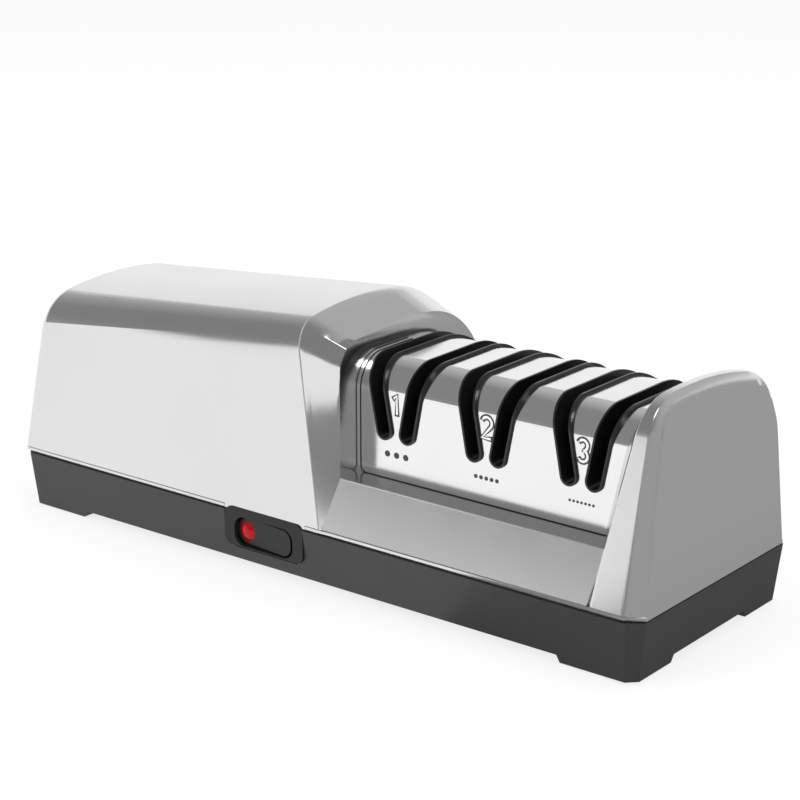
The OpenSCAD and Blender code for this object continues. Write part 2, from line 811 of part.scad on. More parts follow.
// A pressed end bracket, mirrored for the other end, with its stack face at x = 0
module motor_bracket() {
  plate = bracket_gap;
  foot_top = damper_seat + damper_height;
  color([0.7, 0.71, 0.73]) difference() {
    union() {
      intersection() {
        translate([plate, -stack_width / 2, axis_height - stack_width / 2])
          cube([bracket_thickness, stack_width, stack_width]);
        on_axis(plate, bracket_thickness, stack_width * 0.65);
      }
      translate([plate, -foot_spread - 6, foot_top])
        cube([bracket_thickness, 2 * foot_spread + 12, axis_height - 24 - foot_top]);
      for (s = [-1, 1]) translate([plate, s * foot_spread - 6, foot_top])
        cube([bracket_thickness + 11, 12, 2]);
      across_stack(0, plate + 0.5, ties, 3.6);
      on_axis(plate - 3, bush_length, bush_radius + 3.5);
    }
    across_stack(-1, plate + 8, ties, screw_radius + 0.1);
    on_axis(plate - 10, 30, bush_radius);
    for (a = [0:90:270]) translate([plate - 1, 17 * cos(a + 45), axis_height + 17 * sin(a + 45)])
      rotate([0, 90, 0]) cylinder(h = 9, r = 5);
    for (s = [-1, 1]) translate([plate + bracket_thickness + 5, s * foot_spread, foot_top - 1])
      cylinder(h = 5, r = screw_radius + 0.2);
  }
}

module motor_bracket_front() {
  translate([motor_middle + stack_length / 2, 0, 0]) motor_bracket();
}
module motor_bracket_rear() {
  translate([motor_middle - stack_length / 2, 0, 0]) mirror([1, 0, 0]) motor_bracket();
}

module bush(from, length) {
  color([0.72, 0.55, 0.3]) difference() {
    on_axis(from, length, bush_radius);
    on_axis(from - 1, length + 2, shaft_radius + running_gap);
  }
}
bush_offset = stack_length / 2 + bracket_gap - 3;
module motor_bush_front() { bush(motor_middle + bush_offset, bush_length); }
module motor_bush_rear() { bush(motor_middle - bush_offset - bush_length, bush_length); }

module motor_screws() {
  reach = stack_length / 2 + bracket_gap + bracket_thickness;
  color("dimgray") {
    across_stack(motor_middle - reach - 3, 2 * reach + 6, ties, screw_radius);
    across_stack(motor_middle - reach - 2.4, 2.4, ties, 3);
    across_stack(motor_middle + reach, 2.4, ties, 3);
  }
}

module motor_dampers() {
  color([0.12, 0.12, 0.12]) for (p = motor_feet) translate([p[0], p[1], damper_seat])
    difference() {
      cylinder(h = damper_height, r = damper_radius - 0.5);
      translate([0, 0, -1]) cylinder(h = damper_height + 2, r = screw_radius + 0.2);
    }
}

module mount_screws() {
  seat = damper_seat + damper_height + 2;
  color("dimgray") for (p = motor_feet) translate([p[0], p[1], 0]) {
    translate([0, 0, seat]) cylinder(h = 2, r = 3);
    translate([0, 0, arch_height]) cylinder(h = seat - arch_height + 1, r = screw_radius - 0.22);
  }
}

shaft_from = motor_middle - bush_offset - bush_length - 4;
shaft_to = block_middle + block_length / 2 + 2.5;
pin_radius = 1;
pin_place = disc_reach + disc_hub_length - disc_travel - pin_radius - 1;

module drive_shaft() {
  color([0.75, 0.76, 0.78]) difference() {
    on_axis(shaft_from, shaft_to - shaft_from, shaft_radius);
    for (x = stage_middles, side = [-1, 1]) translate([x + side * pin_place, 0, axis_height])
      rotate([90, 0, 0]) cylinder(h = 30, r = pin_radius, center = true);
    for (x = clip_places) ring_on_axis(x - 0.45, 0.9, shaft_radius + 5, shaft_radius - 0.5);
  }
}

module rotor_core() {
  length = stack_length - 2;
  color([0.55, 0.56, 0.58]) difference() {
    union() {
      on_axis(motor_middle - length / 2, length, rotor_radius);
      for (s = [-1, 1]) on_axis(motor_middle + s * (length / 2 + 1.4) - 1.5, 3, rotor_radius - 1.2);
      for (s = [-1, 1], a = [0:60:300])
        translate([motor_middle + s * (length / 2 + 4) - 2.5, 11 * cos(a), axis_height + 11 * sin(a)])
          rotate([0, 90, 0]) cylinder(h = 5, r = 1.2);
    }
    on_axis(motor_middle - stack_length, 2 * stack_length, shaft_radius);
  }
}

fan_from = motor_middle + stack_length / 2 + bracket_gap + bush_length - 1;
fan_depth = 11;
module cooling_fan() {
  color([0.2, 0.22, 0.25]) difference() {
    union() {
      on_axis(fan_from, 1.8, fan_radius);
      on_axis(fan_from, fan_depth, 8);
      for (i = [0:fan_blades - 1]) translate([fan_from + 1, 0, axis_height])
        rotate([i * 360 / fan_blades, 0, 0]) translate([0, -0.8, 7])
          cube([fan_depth - 2, 1.6, fan_radius - 8]);
    }
    on_axis(fan_from - 1, fan_depth + 2, shaft_radius);
  }
}

// ---------- Abrasive discs ----------

module disc(stage, side, tint) {
  x = stage_middles[stage - 1];
  inner = disc_reach - disc_thickness;
  color(tint) translate([x, 0, 0]) mirror([side < 0 ? 1 : 0, 0, 0]) difference() {
    union() {
      on_axis(inner, disc_thickness - 0.4, disc_radius);
      on_axis(inner, disc_thickness, disc_radius - 0.4);
      on_axis(inner, disc_thickness + disc_hub_length, disc_hub_radius);
    }
    ring_on_axis(disc_reach - 0.4, 0.5, disc_hub_radius + 2.5, disc_hub_radius);
    on_axis(inner - 1, disc_thickness + disc_hub_length + 2, shaft_radius + running_gap);
    for (give = [0, disc_travel + 0.1]) translate([pin_place + give, 0, axis_height])
      rotate([90, 0, 0]) cylinder(h = 3 * disc_hub_radius, r = pin_radius + running_gap,
                                  center = true);
    translate([pin_place, -1.5 * disc_hub_radius, axis_height - pin_radius - running_gap])
      cube([disc_travel + 0.1, 3 * disc_hub_radius, 2 * (pin_radius + running_gap)]);
  }
}

module disc_spring(stage) {
  inner = disc_reach - disc_thickness;
  color([0.8, 0.81, 0.83]) difference() {
    on_axis(stage_middles[stage - 1] - inner, 2 * inner, shaft_radius + 2.6);
    on_axis(stage_middles[stage - 1] - inner - 1, 2 * inner + 2, shaft_radius + 0.6);
  }
}

module drive_pins() {
  color([0.6, 0.6, 0.62]) for (x = stage_middles, side = [-1, 1])
    translate([x + side * pin_place, 0, axis_height])
      rotate([90, 0, 0]) cylinder(h = 2 * disc_hub_radius, r = pin_radius, center = true);
}

clip_places = [shaft_from + 2.5, shaft_to - 1.5];
module shaft_clips() {
  color([0.5, 0.5, 0.52]) for (x = clip_places) difference() {
    on_axis(x - 0.4, 0.8, shaft_radius + 2.2);
    on_axis(x - 1, 2, shaft_radius - 0.5);
    translate([x - 2, -2, axis_height]) cube([4, 4, 20]);
  }
}

// ---------- End bearing ----------

module end_bush() { bush(block_middle - block_length / 2, block_length); }

module end_bearing_block() {
  color([0.3, 0.3, 0.31]) difference() {
    union() {
      translate([block_middle - block_length / 2, -16, pillar_top])
        cube([block_length, 32, 5]);
      translate([block_middle - block_length / 2, -bush_radius - 3, pillar_top])
        cube([block_length, 2 * bush_radius + 6, axis_height - pillar_top]);
      on_axis(block_middle - block_length / 2, block_length, bush_radius + 3);
    }
    on_axis(block_middle - block_length, 2 * block_length, bush_radius);
    for (y = bearing_screw_places) translate([block_middle, y, pillar_top - 1])
      cylinder(h = 10, r = screw_radius + 0.2);
  }
}

module bearing_screws() {
  color("dimgray") for (y = bearing_screw_places) translate([block_middle, y, pillar_top - 8]) {
    cylinder(h = 14, r = screw_radius - 0.22);
    translate([0, 0, 13]) cylinder(h = 2, r = 3);
  }
}

// ---------- Terminal block ----------

terminal_pitch = 9;
terminal_depth = 14;
terminal_height = 11;
terminal_ways = 3;

module terminal_block() {
  length = terminal_ways * terminal_pitch + 3;
  color([0.85, 0.85, 0.8]) difference() {
    translate([inlet_place + 7, half_depth - 30.5, floor_top])
      cube([length, terminal_depth, terminal_height]);
    for (i = [0.5:terminal_ways - 0.5])
      translate([inlet_place + 8.5 + i * terminal_pitch, half_depth - 30.5, floor_top + 5]) {
        translate([0, terminal_depth / 2, 0]) cylinder(h = terminal_height, r = 2.2);
        translate([0, -1, 0]) rotate([-90, 0, 0]) cylinder(h = terminal_depth + 2, r = 1.6);
      }
  }
}

grey = [0.62, 0.63, 0.66];
pale = [0.86, 0.84, 0.78];

base_tub();
rubber_feet();
clean_out_cover();
top_shell();
slot_panel();
guide(1, -1);  // guide_1_left
guide(1, 1);  // guide_1_right
guide(2, -1);  // guide_2_left
guide(2, 1);  // guide_2_right
guide(3, -1);  // guide_3_left
guide(3, 1);  // guide_3_right
switch_bezel();
rocker_button();
lamp_lens();
switch_body();
inlet_bush();
stator_stack();
field_coils();
motor_bracket_rear();
motor_bracket_front();
motor_bush_rear();
motor_bush_front();
rotor_core();
drive_shaft();
cooling_fan();
disc(1, -1, grey);  // disc_1_left
disc(1, 1, grey);  // disc_1_right
disc(2, -1, grey);  // disc_2_left
disc(2, 1, grey);  // disc_2_right
disc(3, -1, pale);  // disc_3_left
disc(3, 1, pale);  // disc_3_right
disc_spring(1);  // disc_spring_1
disc_spring(2);  // disc_spring_2
disc_spring(3);  // disc_spring_3
drive_pins();
shaft_clips();
end_bush();
end_bearing_block();
bearing_screws();
motor_screws();
motor_dampers();
mount_screws();
terminal_block();
shell_screws();
cover_screws();
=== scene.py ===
"""Looks of a three-stage electric knife sharpener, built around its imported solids."""

import math

import bpy
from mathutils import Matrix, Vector


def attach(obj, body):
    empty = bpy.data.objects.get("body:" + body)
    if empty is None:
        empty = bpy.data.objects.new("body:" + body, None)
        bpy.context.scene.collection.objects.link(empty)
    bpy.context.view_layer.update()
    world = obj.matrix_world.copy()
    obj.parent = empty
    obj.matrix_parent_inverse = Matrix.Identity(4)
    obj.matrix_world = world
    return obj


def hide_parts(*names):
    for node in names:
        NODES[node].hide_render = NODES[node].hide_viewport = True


bl_info = {
    "name": "Electric knife sharpener",
    "version": (1, 0, 0),
    "blender": (4, 5, 0),
    "location": "View3D > Sidebar > Sharpener",
    "description": "Finishes, marks and studio for a three-stage electric knife sharpener",
    "category": "Add Mesh",
}

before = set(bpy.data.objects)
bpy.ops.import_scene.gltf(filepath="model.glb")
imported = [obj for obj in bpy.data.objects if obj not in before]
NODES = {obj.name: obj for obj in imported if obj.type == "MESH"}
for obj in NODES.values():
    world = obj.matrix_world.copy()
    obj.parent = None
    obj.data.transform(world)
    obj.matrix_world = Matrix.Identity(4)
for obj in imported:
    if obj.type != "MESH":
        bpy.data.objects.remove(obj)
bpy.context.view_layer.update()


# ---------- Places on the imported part, in metres ----------


STAGES = (0.0326, 0.0719, 0.1112)   # middle of each stage, along X

# The slot panel as it is shown: its front face, and its front corner's start and radius
PANEL_FACE = 0.034
PANEL_SHOULDER = 0.0748
PANEL_CORNER = 0.0122
PANEL_TOP = PANEL_SHOULDER + PANEL_CORNER
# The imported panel, which is a little less full, and where its back arc begins
PACKED_SHOULDER = 0.0715
PACKED_CORNER = 0.0135
PACKED_TOP = 0.085
BACK_ARC_PLACE = 0.003
BACK_ARC_FOOT = 0.054
FILLED_FROM = 0.0640        # height from which the panel is filled out
# The slots' edges lean apart: their distance from a stage's middle at one level, and their lean
SLOT_EDGE = 0.00505
SLOT_LEVEL = 0.0618
SLOT_LEAN = math.tan(math.radians(11))
SLOT_REACH = 0.0045         # how near to an edge a point moves along its lean
CAP_SIDE = 0.11             # beyond this the panel leans with the end cap
CAP_LEAN = 0.22

LEDGE = 0.044               # height of the ledge before the panel
LEDGE_LIP = 0.0446          # how far its front edge stands from the middle
LEDGE_RUN = (0.0155, 0.1212)

# The hood's slanted rim, where its long side turns into its flare
RIM_FOOT = 0.0094
RIM_LEAN = 0.18
SHELL_FOOT = 0.023
FLARE_END = 0.0158
HOOD_END = -0.142
HOOD_CORE = 0.0385          # nearer to the middle, nothing is reshaded
SIDE_START = -0.141
SIDE_HEIGHTS = (0.0235, 0.089)
SIDE_TOP = 0.0795           # height up to which a long side is even
FLARE_TURN = (0.056, 0.086)     # heights between which the flare's shading turns
# Faces count as flare or as long side by the parts of their normals
FLARE_LEAN_X = (0.03, 0.8)
FLARE_LEAN_Z = 0.6
SIDE_LEAN_Y = 0.93
# Where their shading is made to face, on the back side; the user's side mirrors it
FLARE_AIM = (0.65, 0.76, 0.0)
SIDE_AIMS = ((-0.03, 0.99, 0.14), (0.0, 0.998, 0.07))   # at the hood's end, and at x = 0
SHELL_CUTS = [0.030 + 0.007 * i for i in range(9)]      # levels that let its shading change
# The rim's edge on the user's side, from its foot to its crown
RIM_EDGE = (
    (0.0092, -0.0498, 0.0246), (-0.0024, -0.0455, 0.0879), (-0.0028, -0.0450, 0.0906),
    (-0.0032, -0.0439, 0.0930), (-0.0036, -0.0424, 0.0952), (-0.0039, -0.0404, 0.0970),
    (-0.0041, -0.0381, 0.0983), (-0.0042, -0.0368, 0.0987),
)
# Plan of the shell's lowest edge, from one side of the switch all the way round to the other
FOOT_PATH = (
    (0.0024, -0.04995), (0.0094, -0.0500), (0.0155, -0.0497), (0.1388, -0.0497),
    (0.14498, -0.0453), (0.14498, 0.0453), (0.1388, 0.0497), (0.0155, 0.0497),
    (0.0094, 0.0502), (-0.1421, 0.0497), (-0.14498, 0.0466), (-0.14498, -0.0466),
    (-0.1421, -0.0497), (-0.0364, -0.0499),
)
# The fine rim that runs along it: height, thickness and rounding, and its height over the foot
RIM_STRIP = (0.00145, 0.0006, 0.00035)
RIM_LIFT = 0.00012

# The beads' silver is painted lighter than the shell's, as a highlight along its edges
BEAD = 0.00028              # radius of the bright beads
BEAD_SUNK = 0.0001          # how far their middle lies inside the edge
SEAM = 0.00026              # radius of the dark seam at the panel's end and foot
SEAM_IN = 0.0008            # how far it lies in from the ledge's start
SEAM_LIFT = 0.0001          # how far its foot stands over the ledge
SEAM_TURN = 0.0024          # radius of its turn, at the panel's lower corner
SEAM_END = -0.004           # where it ends, on the panel's top

NUMERAL_LEVEL = 0.0718      # height of the numerals' middle
DOT_LEVEL = 0.0534
DOTS = ((3, 0.00115), (5, 0.00075), (7, 0.00050))   # each stage's dots and their radius
PRINT_GAP = 0.00002         # how far the dots stand off the panel
FILL_LIFT = 0.00005         # how far a numeral's fill stands off its outline
CORNER_CUTS = [PANEL_SHOULDER + 0.0004 * i for i in range(8)]   # levels that let it bend

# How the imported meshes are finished; angles are in degrees
MERGE_GAP = 0.000002
FLAT_ANGLE = 0.4            # faces that differ less become one
SHELL_SOFT = 24             # edges flatter than this are shaded round
LINER_SOFT = 30
LINER_ROUNDING = 0.00022    # bevel of the liners' edges, in metres


# ---------- Settings ----------


class SharpenerFinishes(bpy.types.PropertyGroup):
    """Colours of the sharpener's finishes"""

    silver: bpy.props.FloatVectorProperty(
        name="Silver", description="Colour of the satin silver shell", subtype="COLOR",
        size=3, min=0, max=1, default=(0.76, 0.76, 0.765))
    panel: bpy.props.FloatVectorProperty(
        name="Panel", description="Colour of the brighter slot panel", subtype="COLOR",
        size=3, min=0, max=1, default=(0.86, 0.86, 0.865))
    base: bpy.props.FloatVectorProperty(
        name="Base", description="Colour of the dark base moulding", subtype="COLOR",
        size=3, min=0, max=1, default=(0.035, 0.035, 0.036))
    guide: bpy.props.FloatVectorProperty(
        name="Guide", description="Colour of the black slot liners", subtype="COLOR",
        size=3, min=0, max=1, default=(0.008, 0.008, 0.009))
    switch: bpy.props.FloatVectorProperty(
        name="Switch", description="Colour of the rocker and its bezel", subtype="COLOR",
        size=3, min=0, max=1, default=(0.015, 0.015, 0.016))
    lamp: bpy.props.FloatVectorProperty(
        name="Lamp", description="Colour of the red lamp lens", subtype="COLOR",
        size=3, min=0, max=1, default=(0.36, 0.0, 0.002))


class SharpenerMarks(bpy.types.PropertyGroup):
    """Sizes of the printed marks"""

    numeral_height: bpy.props.FloatProperty(
        name="Numeral height", description="Height of the stage numerals",
        default=0.0095, min=0.006, max=0.02, unit="LENGTH")
    numeral_stroke: bpy.props.FloatProperty(
        name="Numeral stroke", description="Width of a numeral's strokes, outline included",
        default=0.00225, min=0.001, max=0.003, unit="LENGTH")
    numeral_line: bpy.props.FloatProperty(
        name="Numeral line", description="Width of the grey outline round a numeral",
        default=0.00068, min=0.0002, max=0.001, unit="LENGTH")
    dot_row: bpy.props.FloatProperty(
        name="Dot row", description="Width of the row of grade dots under a stage",
        default=0.0105, min=0.006, max=0.016, unit="LENGTH")
    ink_thickness: bpy.props.FloatProperty(
        name="Ink thickness", description="Thickness of the printed marks",
        default=0.00006, min=0.00002, max=0.0002, unit="LENGTH")


class SharpenerStudio(bpy.types.PropertyGroup):
    """Camera and lights"""

    camera_place: bpy.props.FloatVectorProperty(
        name="Camera place", description="Where the camera stands", size=3,
        subtype="TRANSLATION", unit="LENGTH", default=(0.4951, -0.6221, 0.3105))
    camera_aim: bpy.props.FloatVectorProperty(
        name="Camera aim", description="Point that the camera looks at", size=3,
        subtype="TRANSLATION", unit="LENGTH", default=(0.0075, 0.0, 0.0608))
    lens: bpy.props.FloatProperty(
        name="Lens", description="Focal length on a 36 mm sensor, in millimetres",
        default=100.3, min=20, max=300)


# ---------- Node materials ----------


NOISE_RANGE = (0.3, 0.7)    # where nearly all of a noise texture's values lie
MIX_COLOURS = (6, 7)        # a colour mix's two inputs, and its result
MIX_RESULT = 2


class Graph:
    """A node material being put together, one node at a time."""

    def __init__(self, name):
        self.material = bpy.data.materials.new(name)
        self.material.use_nodes = True
        self.tree = self.material.node_tree
        self.shader = self.tree.nodes["Principled BSDF"]
        self.coordinates = self.add("ShaderNodeTexCoord").outputs["Object"]

    def add(self, kind, **settings):
        node = self.tree.nodes.new(kind)
        for key, value in settings.items():
            setattr(node, key, value)
        return node

    def join(self, source, target):
        self.tree.links.new(source, target)

    def stretched(self, scale):
        mapping = self.add("ShaderNodeMapping")
        mapping.inputs["Scale"].default_value = scale
        self.join(self.coordinates, mapping.inputs["Vector"])
        return mapping.outputs["Vector"]

    def noise(self, scale, detail=3, rough=0.5, vector=None):
        node = self.add("ShaderNodeTexNoise")
        node.inputs["Scale"].default_value = scale
        node.inputs["Detail"].default_value = detail
        node.inputs["Roughness"].default_value = rough
        self.join(vector or self.coordinates, node.inputs["Vector"])
        return node.outputs["Fac"]

    def spread(self, fac, low, high):
        node = self.add("ShaderNodeMapRange")
        ends = (*NOISE_RANGE, low, high)
        for socket, value in zip(("From Min", "From Max", "To Min", "To Max"), ends):
            node.inputs[socket].default_value = value
        self.join(fac, node.inputs["Value"])
        return node.outputs["Result"]

    def blend(self, fac, first, second):
        node = self.add("ShaderNodeMix", data_type="RGBA")
        for socket, colour in zip(MIX_COLOURS, (first, second)):
            node.inputs[socket].default_value = (*colour, 1)
        self.join(fac, node.inputs["Factor"])
        return node.outputs[MIX_RESULT]

    def bump(self, fac, strength, distance):
        node = self.add("ShaderNodeBump")
        node.inputs["Strength"].default_value = strength
        node.inputs["Distance"].default_value = distance
        self.join(fac, node.inputs["Height"])
        self.join(node.outputs["Normal"], self.shader.inputs["Normal"])

    def set(self, **values):
        for key, value in values.items():
            self.shader.inputs[key.replace("_", " ")].default_value = value

    def colour(self, fac, first, second):
        self.join(self.blend(fac, first, second), self.shader.inputs["Base Color"])

    def roughness(self, fac, low, high):
        self.join(self.spread(fac, low, high), self.shader.inputs["Roughness"])


def shade(colour, factor):
    """A colour made lighter or darker."""
    return tuple(min(1, c * factor) for c in colour)


def satin_metal(name, colour, rough, grain=0.10):
    """Silver lacquer over metal: fine flake, faint cloudiness and soft gloss."""
    g = Graph(name)
    flake = g.noise(2600, 2, 0.6)
    cloud = g.noise(34, 3, 0.5)
    g.colour(flake, shade(colour, 1 - 0.35 * grain), shade(colour, 1 + 0.35 * grain))
    g.roughness(cloud, rough - 0.015, rough + 0.02)
    g.set(Metallic=1.0)
    g.bump(flake, 0.03, 0.00004)
    return g.material


def brushed_metal(name, colour, rough, direction=(40, 900, 900)):
    """Ground or drawn steel with fine lines along one way."""
    g = Graph(name)
    lines = g.noise(3.0, 4, 0.6, g.stretched(direction))
    g.colour(lines, shade(colour, 0.86), shade(colour, 1.08))
    g.roughness(lines, rough - 0.06, rough + 0.08)
    g.set(Metallic=1.0)
    g.bump(lines, 0.10, 0.00005)
    return g.material


def moulded_plastic(name, colour, rough, grain=1500, depth=0.00006, strength=0.25, shine=0.42):
    """Fine-textured moulding with a little unevenness in its gloss."""
    g = Graph(name)
    texture = g.noise(grain, 2, 0.6)
    cloud = g.noise(28, 3, 0.5)
    g.colour(texture, shade(colour, 0.86), shade(colour, 1.16))
    g.roughness(cloud, rough - 0.04, rough + 0.05)
    g.set(Metallic=0.0, Specular_IOR_Level=shine)
    g.bump(texture, strength, depth)
    return g.material


def clear_lens(name, colour):
    """Tinted lamp lens, its tint varying a little."""
    g = Graph(name)
    depth = g.noise(420, 2, 0.5)
    g.colour(depth, shade(colour, 0.8), shade(colour, 1.15))
    g.roughness(depth, 0.08, 0.14)
    g.set(Metallic=0.0, Specular_IOR_Level=0.3)
    return g.material


def rubber(name):
    """Black rubber with a fine, dull skin."""
    g = Graph(name)
    texture = g.noise(1800, 2, 0.6)
    g.colour(texture, (0.012, 0.012, 0.012), (0.022, 0.022, 0.022))
    g.roughness(g.noise(60), 0.72, 0.85)
    g.bump(texture, 0.3, 0.00006)
    return g.material


def abrasive(name, colour):
    """Grit in a bond: sparkling grains over a matt ground."""
    g = Graph(name)
    grit = g.add("ShaderNodeTexVoronoi")
    grit.inputs["Scale"].default_value = 2600
    g.join(g.coordinates, grit.inputs["Vector"])
    g.colour(grit.outputs["Distance"], shade(colour, 1.3), shade(colour, 0.55))
    g.roughness(g.noise(900), 0.45, 0.8)
    g.set(Metallic=0.35)
    g.bump(grit.outputs["Distance"], 0.5, 0.0001)
    return g.material


def enamelled_wire(name):
    """Windings: fine turns with a warm lacquer."""
    g = Graph(name)
    turns = g.add("ShaderNodeTexWave", wave_type="RINGS", rings_direction="X")
    turns.inputs["Scale"].default_value = 700
    turns.inputs["Distortion"].default_value = 0.6
    centred = g.add("ShaderNodeMapping")
    centred.inputs["Location"].default_value = (0, 0, -0.05)
    g.join(g.coordinates, centred.inputs["Vector"])
    g.join(centred.outputs["Vector"], turns.inputs["Vector"])
    g.colour(turns.outputs["Fac"], (0.16, 0.045, 0.015), (0.52, 0.19, 0.07))
    g.roughness(turns.outputs["Fac"], 0.3, 0.45)
    g.set(Metallic=0.7)
    g.bump(turns.outputs["Fac"], 0.5, 0.00025)
    return g.material


def printed_ink(name, colour):
    """Flat ink that varies a little in its density."""
    g = Graph(name)
    patch = g.noise(1400, 2, 0.5)
    g.colour(patch, shade(colour, 0.9), shade(colour, 1.1))
    g.roughness(patch, 0.42, 0.55)
    return g.material


def dress(material, *names):
    """Puts one material on CAD nodes, in place of what they came with."""
    for name in names:
        mesh = NODES[name].data
        mesh.materials.clear()
        mesh.materials.append(material)


# ---------- Modelling helpers ----------


def deselect():
    """Leaves edit mode and selects nothing."""
    if bpy.context.object and bpy.context.object.mode != "OBJECT":
        bpy.ops.object.mode_set(mode="OBJECT")
    bpy.ops.object.select_all(action="DESELECT")


def pick(piece):
    """Selects one piece alone and makes it the active one."""
    deselect()
    piece.select_set(True)
    bpy.context.view_layer.objects.active = piece


def settle(piece, body, material):
    """Bakes a piece's place into its mesh, and gives it its body and material."""
    pick(piece)
    bpy.ops.object.transform_apply(location=True, rotation=True, scale=True)
    piece.data.materials.clear()
    piece.data.materials.append(material)
    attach(piece, body)


def rebuilt(node):
    """A copy of a CAD node, its loose triangles merged and its flat faces made whole."""
    piece = bpy.data.objects.new(f"{node}_finished", NODES[node].data.copy())
    bpy.context.collection.objects.link(piece)
    pick(piece)
    bpy.ops.object.mode_set(mode="EDIT")
    bpy.ops.mesh.select_all(action="SELECT")
    bpy.ops.mesh.remove_doubles(threshold=MERGE_GAP)
    bpy.ops.mesh.dissolve_limited(angle_limit=math.radians(FLAT_ANGLE))
    bpy.ops.object.mode_set(mode="OBJECT")
    return piece


def smooth(piece, angle):
    """Rounds the shading over edges flatter than an angle, and keeps large faces flat."""
    pick(piece)
    bpy.ops.object.shade_smooth_by_angle(angle=math.radians(angle))
    finish_with(piece, "WEIGHTED_NORMAL", keep_sharp=True, weight=60)


def cut_level(piece, levels):
    """Cuts a piece's faces along level planes."""
    pick(piece)
    bpy.ops.object.mode_set(mode="EDIT")
    for level in levels:
        bpy.ops.mesh.select_all(action="SELECT")
        bpy.ops.mesh.bisect(plane_co=(0, 0, level), plane_no=(0, 0, 1))
    bpy.ops.object.mode_set(mode="OBJECT")


def share_of(value, start, end):
    """How far a value is from start to end, as a share from 0 to 1."""
    return min(1.0, max(0.0, (value - start) / (end - start)))


def facing(aim, side):
    """A normal that is given for the back side, for either side."""
    return Vector((aim[0], side * aim[1], aim[2]))


def even_shading(shell):
    """Evens the shading of the hood's long sides, and turns that of its flare."""
    mesh = shell.data
    normals = [Vector(loop.normal) for loop in mesh.loops]
    lowest, highest = SIDE_HEIGHTS
    for face in mesh.polygons:
        x, y, z = face.center
        if abs(y) < HOOD_CORE or not lowest <= z <= highest or face.normal.y * y < 0:
            continue
        side = math.copysign(1, y)
        rim = RIM_FOOT - RIM_LEAN * (z - SHELL_FOOT)
        flare = (rim < x < FLARE_END and abs(face.normal.z) < FLARE_LEAN_Z
                 and FLARE_LEAN_X[0] < face.normal.x < FLARE_LEAN_X[1])
        long_side = SIDE_START < x < rim and abs(face.normal.y) > SIDE_LEAN_Y
        for loop in face.loop_indices:
            point = mesh.vertices[mesh.loops[loop].vertex_index].co
            if flare:
                share = 1 - share_of(point.z, *FLARE_TURN)
                aim = facing(FLARE_AIM, side)
            elif long_side and point.z < SIDE_TOP:
                share = 1.0
                aim = facing(SIDE_AIMS[0], side).lerp(
                    facing(SIDE_AIMS[1], side), share_of(point.x, HOOD_END, 0.0))
            else:
                continue
            normals[loop] = normals[loop].lerp(aim, share).normalized()
    mesh.normals_split_custom_set(normals)


def stand_in(piece, node, material):
    """Puts a rebuilt copy in its node's place on the housing."""
    settle(piece, "housing", material)
    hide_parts(node)


def upright_strip(name, path, foot, height):
    """Upright faces along a path of (x, y) points, made by extruding one edge."""
    (x, y), (x_next, y_next) = path[:2]
    deselect()
    bpy.ops.mesh.primitive_plane_add(
        size=1, location=((x + x_next) / 2, (y + y_next) / 2, foot + height / 2),
        rotation=(math.pi / 2, 0, math.atan2(y_next - y, x_next - x)))
    strip = bpy.context.object
    strip.name = name
    strip.scale = (math.hypot(x_next - x, y_next - y), height, 1)
    bpy.ops.object.transform_apply(location=True, rotation=True, scale=True)
    end = Vector((x_next, y_next))
    for part in (strip.data.polygons, strip.data.edges, strip.data.vertices):
        for item in part:
            item.select = False
    for vertex in strip.data.vertices:
        vertex.select = (vertex.co.xy - end).length < 1e-6
    bpy.ops.object.mode_set(mode="EDIT")
    bpy.ops.mesh.select_mode(type="VERT")
    for (xa, ya), (xb, yb) in zip(path[1:], path[2:]):
        bpy.ops.mesh.extrude_region_move(TRANSFORM_OT_translate={"value": (xb - xa, yb - ya, 0)})
    bpy.ops.object.mode_set(mode="OBJECT")
    return strip


def finish_with(piece, kind, **settings):
    """Adds a modifier and applies it."""
    pick(piece)
    modifier = piece.modifiers.new(kind.title(), kind)
    for key, value in settings.items():
        setattr(modifier, key, value)
    bpy.ops.object.modifier_apply(modifier=modifier.name)


def panel_profile(y, z):
    """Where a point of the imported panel's profile goes on the fuller profile."""
    packed_corner = -PANEL_FACE + PACKED_CORNER
    corner = -PANEL_FACE + PANEL_CORNER
    if y > BACK_ARC_PLACE:
        stretch = (PANEL_TOP - BACK_ARC_FOOT) / (PACKED_TOP - BACK_ARC_FOOT)
        return y, z if z < BACK_ARC_FOOT else BACK_ARC_FOOT + (z - BACK_ARC_FOOT) * stretch
    if z < FILLED_FROM:
        return y, z
    if y < packed_corner and z > PACKED_SHOULDER:
        rise, run = z - PACKED_SHOULDER, packed_corner - y
        angle = math.atan2(rise, run)
        out = math.hypot(rise, run) - PACKED_CORNER + PANEL_CORNER
        return corner - out * math.cos(angle), PANEL_SHOULDER + out * math.sin(angle)
    if y < packed_corner:
        share = (z - FILLED_FROM) / (PACKED_SHOULDER - FILLED_FROM)
        return y, FILLED_FROM + share * (PANEL_SHOULDER - FILLED_FROM)
    share = (y - packed_corner) / (BACK_ARC_PLACE - packed_corner)
    return corner + share * (BACK_ARC_PLACE - corner), z + PANEL_TOP - PACKED_TOP


def reshape_panel(panel):
    """Fills the panel out to just under the liners' rims, along the lean of each slot."""
    edges = [(x + side * SLOT_EDGE, side * SLOT_LEAN) for x in STAGES for side in (-1, 1)]
    for vertex in panel.data.vertices:
        x, y, z = vertex.co
        new_y, new_z = panel_profile(y, z)
        gap, lean = min((abs(place + lean * (z - SLOT_LEVEL) - x), lean)
                        for place, lean in edges)
        if gap >= SLOT_REACH:
            lean = CAP_LEAN if x > CAP_SIDE else 0.0
        vertex.co = (x + lean * (new_z - z), new_y, new_z)


